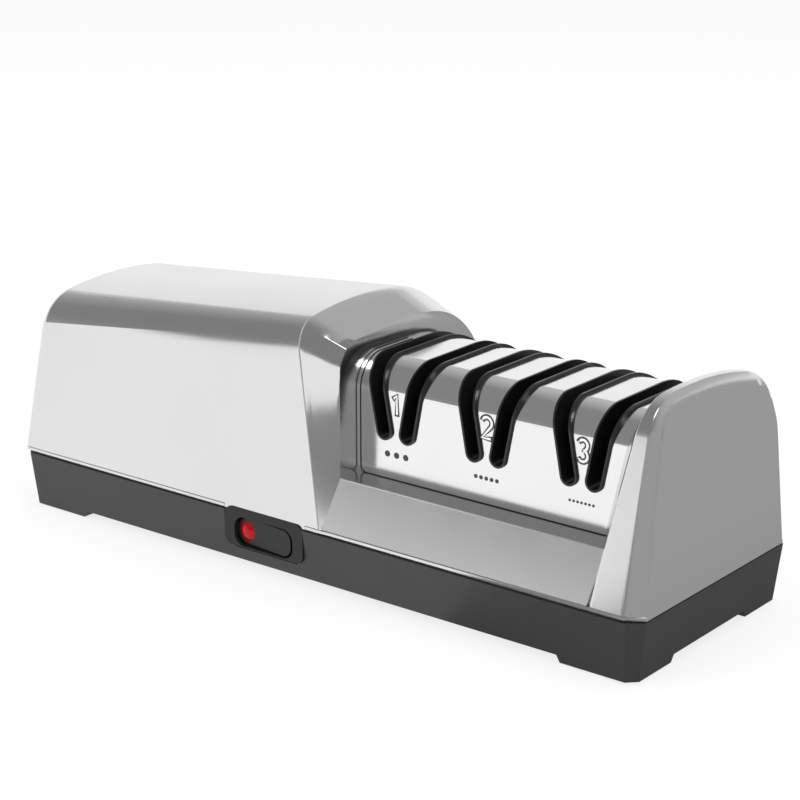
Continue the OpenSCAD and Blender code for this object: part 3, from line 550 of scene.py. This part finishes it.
def wrap_on_panel(piece, lift):
    """Lays flat artwork, drawn in x and z, onto the panel's front and its rounded corner."""
    for vertex in piece.data.vertices:
        x, depth, z = vertex.co
        out = PANEL_CORNER + lift - depth
        angle = max(0.0, z - PANEL_SHOULDER) / PANEL_CORNER
        vertex.co = (x, PANEL_CORNER - PANEL_FACE - out * math.cos(angle),
                     min(z, PANEL_SHOULDER) + out * math.sin(angle))


def arc(x, z, radius, start, end, steps=14):
    """Points of an arc, its angles in degrees."""
    turns = [math.radians(start + (end - start) * i / steps) for i in range(steps + 1)]
    return [(x + radius * math.cos(t), z + radius * math.sin(t)) for t in turns]


# Middle lines of the numerals' strokes, for a numeral 2 high and centred on the origin
NUMERALS = {
    1: [[(-0.36, 0.47), (0.05, 0.80), (0.05, -0.80)]],
    2: [[*arc(0, 0.36, 0.44, 165, -38), (-0.44, -0.80), (0.50, -0.80)]],
    3: [[*arc(0, 0.41, 0.39, 160, -80), *arc(-0.01, -0.38, 0.42, 78, -160)]],
}


def shortened(line, cut):
    """A line cut back at both ends."""
    line = [Vector(point) for point in line]
    for end, other in ((0, 1), (-1, -2)):
        line[end] = line[end] + (line[other] - line[end]).normalized() * cut
    return [tuple(point) for point in line]


def tube(lines, radius, resolution):
    """Round bars of one radius along lines of (x, y, z) points, made a mesh."""
    deselect()
    bpy.ops.curve.primitive_bezier_curve_add()
    curve = bpy.context.object.data
    curve.splines.clear()
    curve.dimensions = "3D"
    curve.bevel_depth = radius
    curve.bevel_resolution = resolution
    curve.use_fill_caps = True
    for line in lines:
        spline = curve.splines.new("POLY")
        spline.points.add(len(line) - 1)
        for point, place in zip(spline.points, line):
            point.co = (*place, 1)
    bpy.ops.object.convert(target="MESH")
    return bpy.context.object


def ribbon(lines, scale, width, thickness):
    """Flat strokes of one width along lines of (x, z) points."""
    stroke = tube([[(x * scale, 0, z * scale) for x, z in line] for line in lines], width / 2, 6)
    for vertex in stroke.data.vertices:
        vertex.co.y *= thickness / width
    return stroke


def bead(name, points, radius, material):
    """A fine round bead along points on the housing."""
    piece = tube([points], radius, 4)
    piece.name = name
    bpy.ops.object.shade_smooth_by_angle(angle=math.radians(50))
    settle(piece, "housing", material)


# ---------- Pieces ----------


class SHARPENER_OT_shell(bpy.types.Operator):
    """Finish the silver shell and the slot panel"""

    bl_idname = "sharpener.shell"
    bl_label = "Silver shell"

    def execute(self, context):
        look = context.scene.sharpener_finishes
        shell = rebuilt("top_shell")
        cut_level(shell, SHELL_CUTS)
        smooth(shell, SHELL_SOFT)
        even_shading(shell)
        stand_in(shell, "top_shell", satin_metal("silver satin", look.silver, 0.21))
        panel = rebuilt("slot_panel")
        reshape_panel(panel)
        smooth(panel, SHELL_SOFT)
        stand_in(panel, "slot_panel", satin_metal("bright satin", look.panel, 0.15, grain=0.05))
        return {"FINISHED"}


class SHARPENER_OT_rim(bpy.types.Operator):
    """Run a fine rounded rim round the foot of the silver shell"""

    bl_idname = "sharpener.rim"
    bl_label = "Shell rim"

    def execute(self, context):
        look = context.scene.sharpener_finishes
        height, thickness, rounding = RIM_STRIP
        rim = upright_strip("shell_rim", FOOT_PATH, SHELL_FOOT + RIM_LIFT, height)
        finish_with(rim, "SOLIDIFY", thickness=thickness, offset=-1, use_even_offset=True)
        finish_with(rim, "BEVEL", width=rounding, segments=4, limit_method="ANGLE",
                    angle_limit=math.radians(60))
        bpy.ops.object.shade_smooth_by_angle(angle=math.radians(35))
        settle(rim, "housing", satin_metal("silver rim", look.silver, 0.22))
        return {"FINISHED"}


class SHARPENER_OT_edges(bpy.types.Operator):
    """Run fine beads along the shell's edges, their silver painted lighter as a highlight, and a
    dark seam along the panel's end and foot
    """

    bl_idname = "sharpener.edges"
    bl_label = "Edges and seam"

    def execute(self, context):
        look = context.scene.sharpener_finishes
        # painted highlight: the edge beads get the shell's silver made 15% lighter
        bright = satin_metal("silver edge painted highlight", shade(look.silver, 1.15), 0.55)
        dark = moulded_plastic("seam black", look.guide, 0.5)
        bead("rim_edge", RIM_EDGE, BEAD, bright)
        for side, word in ((-1, "front"), (1, "back")):
            points = [(x, side * (LEDGE_LIP - BEAD_SUNK), LEDGE - BEAD_SUNK) for x in LEDGE_RUN]
            bead(f"ledge_edge_{word}", points, BEAD, bright)
        left, foot = LEDGE_RUN[0] + SEAM_IN, LEDGE + SEAM_LIFT
        points = [(LEDGE_RUN[1], -PANEL_FACE, foot)]
        points += [(x, -PANEL_FACE, z)
                   for x, z in arc(left + SEAM_TURN, foot + SEAM_TURN, SEAM_TURN, -90, -180, 8)]
        points += [(left, -PANEL_FACE + PANEL_CORNER + y, z)
                   for y, z in arc(0, PANEL_SHOULDER, PANEL_CORNER, 180, 90, 12)]
        points.append((left, SEAM_END, PANEL_TOP))
        bead("panel_seam", points, SEAM, dark)
        return {"FINISHED"}


class SHARPENER_OT_guides(bpy.types.Operator):
    """Finish the black slot liners"""

    bl_idname = "sharpener.guides"
    bl_label = "Slot liners"

    def execute(self, context):
        look = context.scene.sharpener_finishes
        black = moulded_plastic("satin black", look.guide, 0.30, grain=1800, depth=0.00003,
                                strength=0.12, shine=0.5)
        for node in [n for n in NODES if n.startswith("guide_")]:
            liner = rebuilt(node)
            finish_with(liner, "BEVEL", width=LINER_ROUNDING, segments=3, limit_method="ANGLE",
                        angle_limit=math.radians(50))
            smooth(liner, LINER_SOFT)
            stand_in(liner, node, black)
        return {"FINISHED"}


class SHARPENER_OT_base(bpy.types.Operator):
    """Finish the dark base, its cover and its feet"""

    bl_idname = "sharpener.base"
    bl_label = "Dark base"

    def execute(self, context):
        look = context.scene.sharpener_finishes
        charcoal = moulded_plastic("charcoal moulded", look.base, 0.46)
        dress(charcoal, "base_tub", "clean_out_cover", "end_bearing_block")
        dress(rubber("soft rubber"), "rubber_feet", "motor_dampers")
        return {"FINISHED"}


class SHARPENER_OT_switch(bpy.types.Operator):
    """Finish the lit rocker switch and the cord inlet"""

    bl_idname = "sharpener.switch"
    bl_label = "Switch"

    def execute(self, context):
        look = context.scene.sharpener_finishes
        dark = moulded_plastic("switch grey", look.switch, 0.36, grain=2000, depth=0.00003,
                               strength=0.15, shine=0.30)
        dress(dark, "switch_bezel", "rocker_button", "switch_body", "inlet_bush")
        dress(clear_lens("red lens", look.lamp), "lamp_lens")
        return {"FINISHED"}


class SHARPENER_OT_mechanism(bpy.types.Operator):
    """Finish the motor, shaft, discs and small inner parts"""

    bl_idname = "sharpener.mechanism"
    bl_label = "Mechanism"

    def execute(self, context):
        steel = brushed_metal("ground steel", (0.56, 0.57, 0.58), 0.28)
        dress(steel, "drive_shaft", "drive_pins", "shaft_clips", "bearing_screws",
              "motor_screws", "mount_screws", "shell_screws", "cover_screws")
        dress(brushed_metal("spring steel", (0.62, 0.63, 0.66), 0.3),
              "disc_spring_1", "disc_spring_2", "disc_spring_3")
        dress(brushed_metal("laminated iron", (0.30, 0.31, 0.33), 0.45, (1600, 30, 30)),
              "stator_stack", "rotor_core")
        dress(enamelled_wire("enamelled wire"), "field_coils")
        dress(brushed_metal("sintered bronze", (0.55, 0.36, 0.16), 0.42, (500, 500, 500)),
              "motor_bush_rear", "motor_bush_front", "end_bush")
        dress(brushed_metal("die-cast bracket", (0.62, 0.63, 0.65), 0.45, (400, 400, 400)),
              "motor_bracket_rear", "motor_bracket_front")
        dress(moulded_plastic("fan nylon", (0.03, 0.035, 0.045), 0.4), "cooling_fan")
        dress(moulded_plastic("pale nylon", (0.66, 0.64, 0.57), 0.45), "terminal_block")
        dress(abrasive("diamond grit", (0.30, 0.31, 0.34)),
              "disc_1_left", "disc_1_right", "disc_2_left", "disc_2_right")
        dress(abrasive("fine bonded grit", (0.58, 0.53, 0.44)), "disc_3_left", "disc_3_right")
        return {"FINISHED"}


class SHARPENER_OT_numerals(bpy.types.Operator):
    """Print the outlined stage numerals between the slots"""

    bl_idname = "sharpener.numerals"
    bl_label = "Stage numerals"

    def execute(self, context):
        marks = context.scene.sharpener_marks
        grey = printed_ink("grey outline ink", (0.05, 0.05, 0.052))
        white = printed_ink("white ink", (0.86, 0.86, 0.86))
        inside = marks.numeral_stroke - 2 * marks.numeral_line
        scale = marks.numeral_height / 2
        for k, x in enumerate(STAGES):
            lines = NUMERALS[k + 1]
            fill = [shortened(line, marks.numeral_line / scale) for line in lines]
            for name, strokes, width, lift, ink in (
                ("outline", lines, marks.numeral_stroke, 0.0, grey),
                ("fill", fill, inside, FILL_LIFT, white),
            ):
                numeral = ribbon(strokes, scale, width, marks.ink_thickness)
                numeral.name = f"numeral_{k + 1}_{name}"
                for vertex in numeral.data.vertices:
                    vertex.co += Vector((x, 0, NUMERAL_LEVEL))
                cut_level(numeral, CORNER_CUTS)
                wrap_on_panel(numeral, lift + marks.ink_thickness / 2)
                settle(numeral, "housing", ink)
        return {"FINISHED"}


class SHARPENER_OT_grades(bpy.types.Operator):
    """Print a row of dots under each stage, few and large for coarse, many and small for fine"""

    bl_idname = "sharpener.grades"
    bl_label = "Grade dots"

    def execute(self, context):
        marks = context.scene.sharpener_marks
        ink = printed_ink("dark mark ink", (0.05, 0.05, 0.052))
        out = PANEL_FACE + marks.ink_thickness / 2 + PRINT_GAP
        for k, (count, radius) in enumerate(DOTS):
            step = (marks.dot_row - 2 * radius) / (count - 1)
            for i in range(count):
                deselect()
                bpy.ops.mesh.primitive_cylinder_add(
                    vertices=28, radius=radius, depth=marks.ink_thickness,
                    location=(STAGES[k] + (i - (count - 1) / 2) * step, -out, DOT_LEVEL),
                    rotation=(math.pi / 2, 0, 0))
                dot = context.object
                dot.name = f"grade_dot_{k + 1}_{i + 1}"
                settle(dot, "housing", ink)
        return {"FINISHED"}


# ---------- Studio ----------


FLOOR_SIZE = 8.0
FLOOR_LEVEL = -0.0002
CEILING = 3.0               # radius of the grey ceiling that the metal reflects
CEILING_EDGE = 0.02         # height of its edge over the object's middle, as a share of its radius
CEILING_TILT = (0.36, -0.286)   # how much lower its edge is to the right, and at the back
# The grey floor card that the metal reflects: its middle, the edge by the object, and its width
CARD_MIDDLE = (1.6, 0.2, 0.0004)
CARD_EDGE = 0.062
CARD_WIDTH = 4
LAMP_AIM = (0, 0, 0.05)
# Each softbox's name, place, size, power, and whether it shows in gloss
SOFTBOXES = (
    ("front softbox", (-0.9, -1.6, 1.1), (1.6, 0.9), 26, False),
    ("top softbox", (0.1, 0.5, 1.9), (1.8, 1.2), 20, False),
    ("right softbox", (1.29, -0.55, 1.45), (0.6, 0.6), 7, True),
)
AMBIENT = 0.55              # the world's level as a light; where it is looked at, it is white
BACKDROP_WHITE = 0.8        # share of plain white in the floor, where it is looked at


def looked_at(tree):
    """A factor that is 1 for camera, gloss and transmission rays, and 0 for the rest."""
    path = tree.nodes.new("ShaderNodeLightPath")
    factor = path.outputs["Is Camera Ray"]
    for kind in ("Is Glossy Ray", "Is Transmission Ray"):
        either = tree.nodes.new("ShaderNodeMath")
        either.operation = "MAXIMUM"
        tree.links.new(factor, either.inputs[0])
        tree.links.new(path.outputs[kind], either.inputs[1])
        factor = either.outputs[0]
    return factor


def backdrop_material():
    """Pale floor that shows plain white to the camera and in gloss, and keeps a shadow."""
    material = bpy.data.materials.new("backdrop")
    material.use_nodes = True
    tree = material.node_tree
    shader = tree.nodes["Principled BSDF"]
    shader.inputs["Base Color"].default_value = (0.9, 0.9, 0.9, 1)
    shader.inputs["Roughness"].default_value = 0.8
    glow = tree.nodes.new("ShaderNodeEmission")
    glow.inputs["Color"].default_value = (1, 1, 1, 1)
    share = tree.nodes.new("ShaderNodeMath")
    share.operation = "MULTIPLY"
    share.inputs[1].default_value = BACKDROP_WHITE
    tree.links.new(looked_at(tree), share.inputs[0])
    mix = tree.nodes.new("ShaderNodeMixShader")
    tree.links.new(share.outputs[0], mix.inputs["Fac"])
    tree.links.new(shader.outputs[0], mix.inputs[1])
    tree.links.new(glow.outputs[0], mix.inputs[2])
    tree.links.new(mix.outputs[0], tree.nodes["Material Output"].inputs["Surface"])
    return material


def fading_card(name, way, start, end):
    """A glow whose level changes along one way, from (place, level) to (place, level)."""
    material = bpy.data.materials.new(name)
    material.use_nodes = True
    tree = material.node_tree
    tree.nodes.remove(tree.nodes["Principled BSDF"])
    glow = tree.nodes.new("ShaderNodeEmission")
    glow.inputs["Color"].default_value = (1, 1, 1, 1)
    tree.links.new(glow.outputs[0], tree.nodes["Material Output"].inputs["Surface"])
    place = tree.nodes.new("ShaderNodeTexCoord")
    along = tree.nodes.new("ShaderNodeVectorMath")
    along.operation = "DOT_PRODUCT"
    along.inputs[1].default_value = way
    tree.links.new(place.outputs["Object"], along.inputs[0])
    level = tree.nodes.new("ShaderNodeMapRange")
    for socket, value in zip(("From Min", "To Min", "From Max", "To Max"), (*start, *end)):
        level.inputs[socket].default_value = value
    tree.links.new(along.outputs["Value"], level.inputs["Value"])
    tree.links.new(level.outputs["Result"], glow.inputs["Strength"])
    return material


def reflected_only(card):
    """A studio card that shows in gloss alone, and neither lights the object nor shades it."""
    card.visible_camera = False
    card.visible_diffuse = False
    card.visible_transmission = False
    card.visible_volume_scatter = False
    card.visible_shadow = False


def lay_floor():
    """The floor that the camera sees."""
    deselect()
    bpy.ops.mesh.primitive_plane_add(size=FLOOR_SIZE, location=(0, 0, FLOOR_LEVEL))
    floor = bpy.context.object
    floor.name = "floor"
    floor.data.materials.append(backdrop_material())


def hang_ceiling():
    """A tilted half sphere, in a grey that pales towards the back."""
    deselect()
    bpy.ops.mesh.primitive_uv_sphere_add(segments=64, ring_count=32, radius=CEILING)
    ceiling = bpy.context.object
    ceiling.name = "grey ceiling"
    bpy.ops.object.shade_smooth()
    bpy.ops.object.mode_set(mode="EDIT")
    bpy.ops.mesh.select_all(action="SELECT")
    bpy.ops.mesh.bisect(plane_co=(0, 0, CEILING_EDGE * CEILING),
                        plane_no=(*CEILING_TILT, 1), clear_inner=True)
    bpy.ops.object.mode_set(mode="OBJECT")
    ceiling.data.materials.append(
        fading_card("ceiling grey", (0, 1 / CEILING, 0), (-0.1, 0.25), (0.55, 0.50)))
    reflected_only(ceiling)


def lay_card():
    """A card on the floor to the right, in a grey that pales away from the object."""
    deselect()
    bpy.ops.mesh.primitive_plane_add(size=1, location=CARD_MIDDLE)
    card = bpy.context.object
    card.name = "grey floor card"
    card.scale = (2 * (CARD_MIDDLE[0] - CARD_EDGE), CARD_WIDTH, 1)
    pick(card)
    bpy.ops.object.transform_apply(location=True, rotation=True, scale=True)
    card.data.materials.append(
        fading_card("floor card grey", (1, 0, 0), (0.08, 0.20), (0.20, 0.40)))
    reflected_only(card)


def turn_to(piece, place, target):
    """Turns a lamp or a camera from its place towards a target."""
    aim = Vector(target) - Vector(place)
    piece.rotation_euler = aim.to_track_quat("-Z", "Y").to_euler()


def place_softboxes():
    """The lamps, all turned to the object."""
    for name, place, size, power, shows in SOFTBOXES:
        deselect()
        bpy.ops.object.light_add(type="AREA", location=place)
        lamp = bpy.context.object
        lamp.name = name
        lamp.data.shape = "RECTANGLE"
        lamp.data.size, lamp.data.size_y = size
        lamp.data.energy = power
        lamp.visible_glossy = shows
        turn_to(lamp, place, LAMP_AIM)


def light_world(scene):
    """A soft world that is plain white where it is looked at."""
    world = bpy.data.worlds.new("studio")
    scene.world = world
    world.use_nodes = True
    tree = world.node_tree
    shader = tree.nodes["Background"]
    looked = looked_at(tree)
    level = tree.nodes.new("ShaderNodeMapRange")
    level.inputs["To Min"].default_value = AMBIENT
    level.inputs["To Max"].default_value = 1.0
    tree.links.new(looked, level.inputs["Value"])
    tree.links.new(level.outputs[0], shader.inputs["Strength"])
    shader.inputs["Color"].default_value = (1, 1, 1, 1)


def place_camera(scene):
    """The camera, where it was found to match the photo."""
    studio = scene.sharpener_studio
    deselect()
    bpy.ops.object.camera_add(location=studio.camera_place)
    camera = bpy.context.object
    camera.name = "camera"
    turn_to(camera, studio.camera_place, studio.camera_aim)
    camera.data.lens = studio.lens
    camera.data.sensor_width = 36
    camera.data.clip_start = 0.01
    scene.camera = camera
    scene.view_settings.view_transform = "Standard"


class SHARPENER_OT_studio(bpy.types.Operator):
    """Set up the floor, lamps, reflected cards, world and camera"""

    bl_idname = "sharpener.studio"
    bl_label = "Studio"

    def execute(self, context):
        lay_floor()
        hang_ceiling()
        lay_card()
        place_softboxes()
        light_world(context.scene)
        place_camera(context.scene)
        return {"FINISHED"}


# ---------- Panel and registration ----------


class SHARPENER_PT_panel(bpy.types.Panel):
    """Lists the sharpener's pieces and settings"""

    bl_idname = "SHARPENER_PT_panel"
    bl_label = "Knife sharpener"
    bl_space_type = "VIEW_3D"
    bl_region_type = "UI"
    bl_category = "Sharpener"

    def draw(self, context):
        layout = self.layout
        for group in (context.scene.sharpener_finishes, context.scene.sharpener_marks,
                      context.scene.sharpener_studio):
            box = layout.box()
            for key in group.__annotations__:
                box.prop(group, key)
        for operator in OPERATORS:
            layout.operator(operator.bl_idname)


OPERATORS = (
    SHARPENER_OT_shell, SHARPENER_OT_rim, SHARPENER_OT_edges, SHARPENER_OT_guides,
    SHARPENER_OT_base, SHARPENER_OT_switch, SHARPENER_OT_mechanism, SHARPENER_OT_numerals,
    SHARPENER_OT_grades, SHARPENER_OT_studio,
)
GROUPS = (SharpenerFinishes, SharpenerMarks, SharpenerStudio)


def register():
    for cls in (*GROUPS, *OPERATORS, SHARPENER_PT_panel):
        bpy.utils.register_class(cls)
    bpy.types.Scene.sharpener_finishes = bpy.props.PointerProperty(type=SharpenerFinishes)
    bpy.types.Scene.sharpener_marks = bpy.props.PointerProperty(type=SharpenerMarks)
    bpy.types.Scene.sharpener_studio = bpy.props.PointerProperty(type=SharpenerStudio)


def unregister():
    del bpy.types.Scene.sharpener_finishes
    del bpy.types.Scene.sharpener_marks
    del bpy.types.Scene.sharpener_studio
    for cls in reversed((*GROUPS, *OPERATORS, SHARPENER_PT_panel)):
        bpy.utils.unregister_class(cls)


def main():
    register()
    bpy.ops.sharpener.shell()
    bpy.ops.sharpener.rim()
    bpy.ops.sharpener.edges()
    bpy.ops.sharpener.guides()
    bpy.ops.sharpener.base()
    bpy.ops.sharpener.switch()
    bpy.ops.sharpener.mechanism()
    bpy.ops.sharpener.numerals()
    bpy.ops.sharpener.grades()
    bpy.ops.sharpener.studio()


if __name__ == "__main__":
    main()
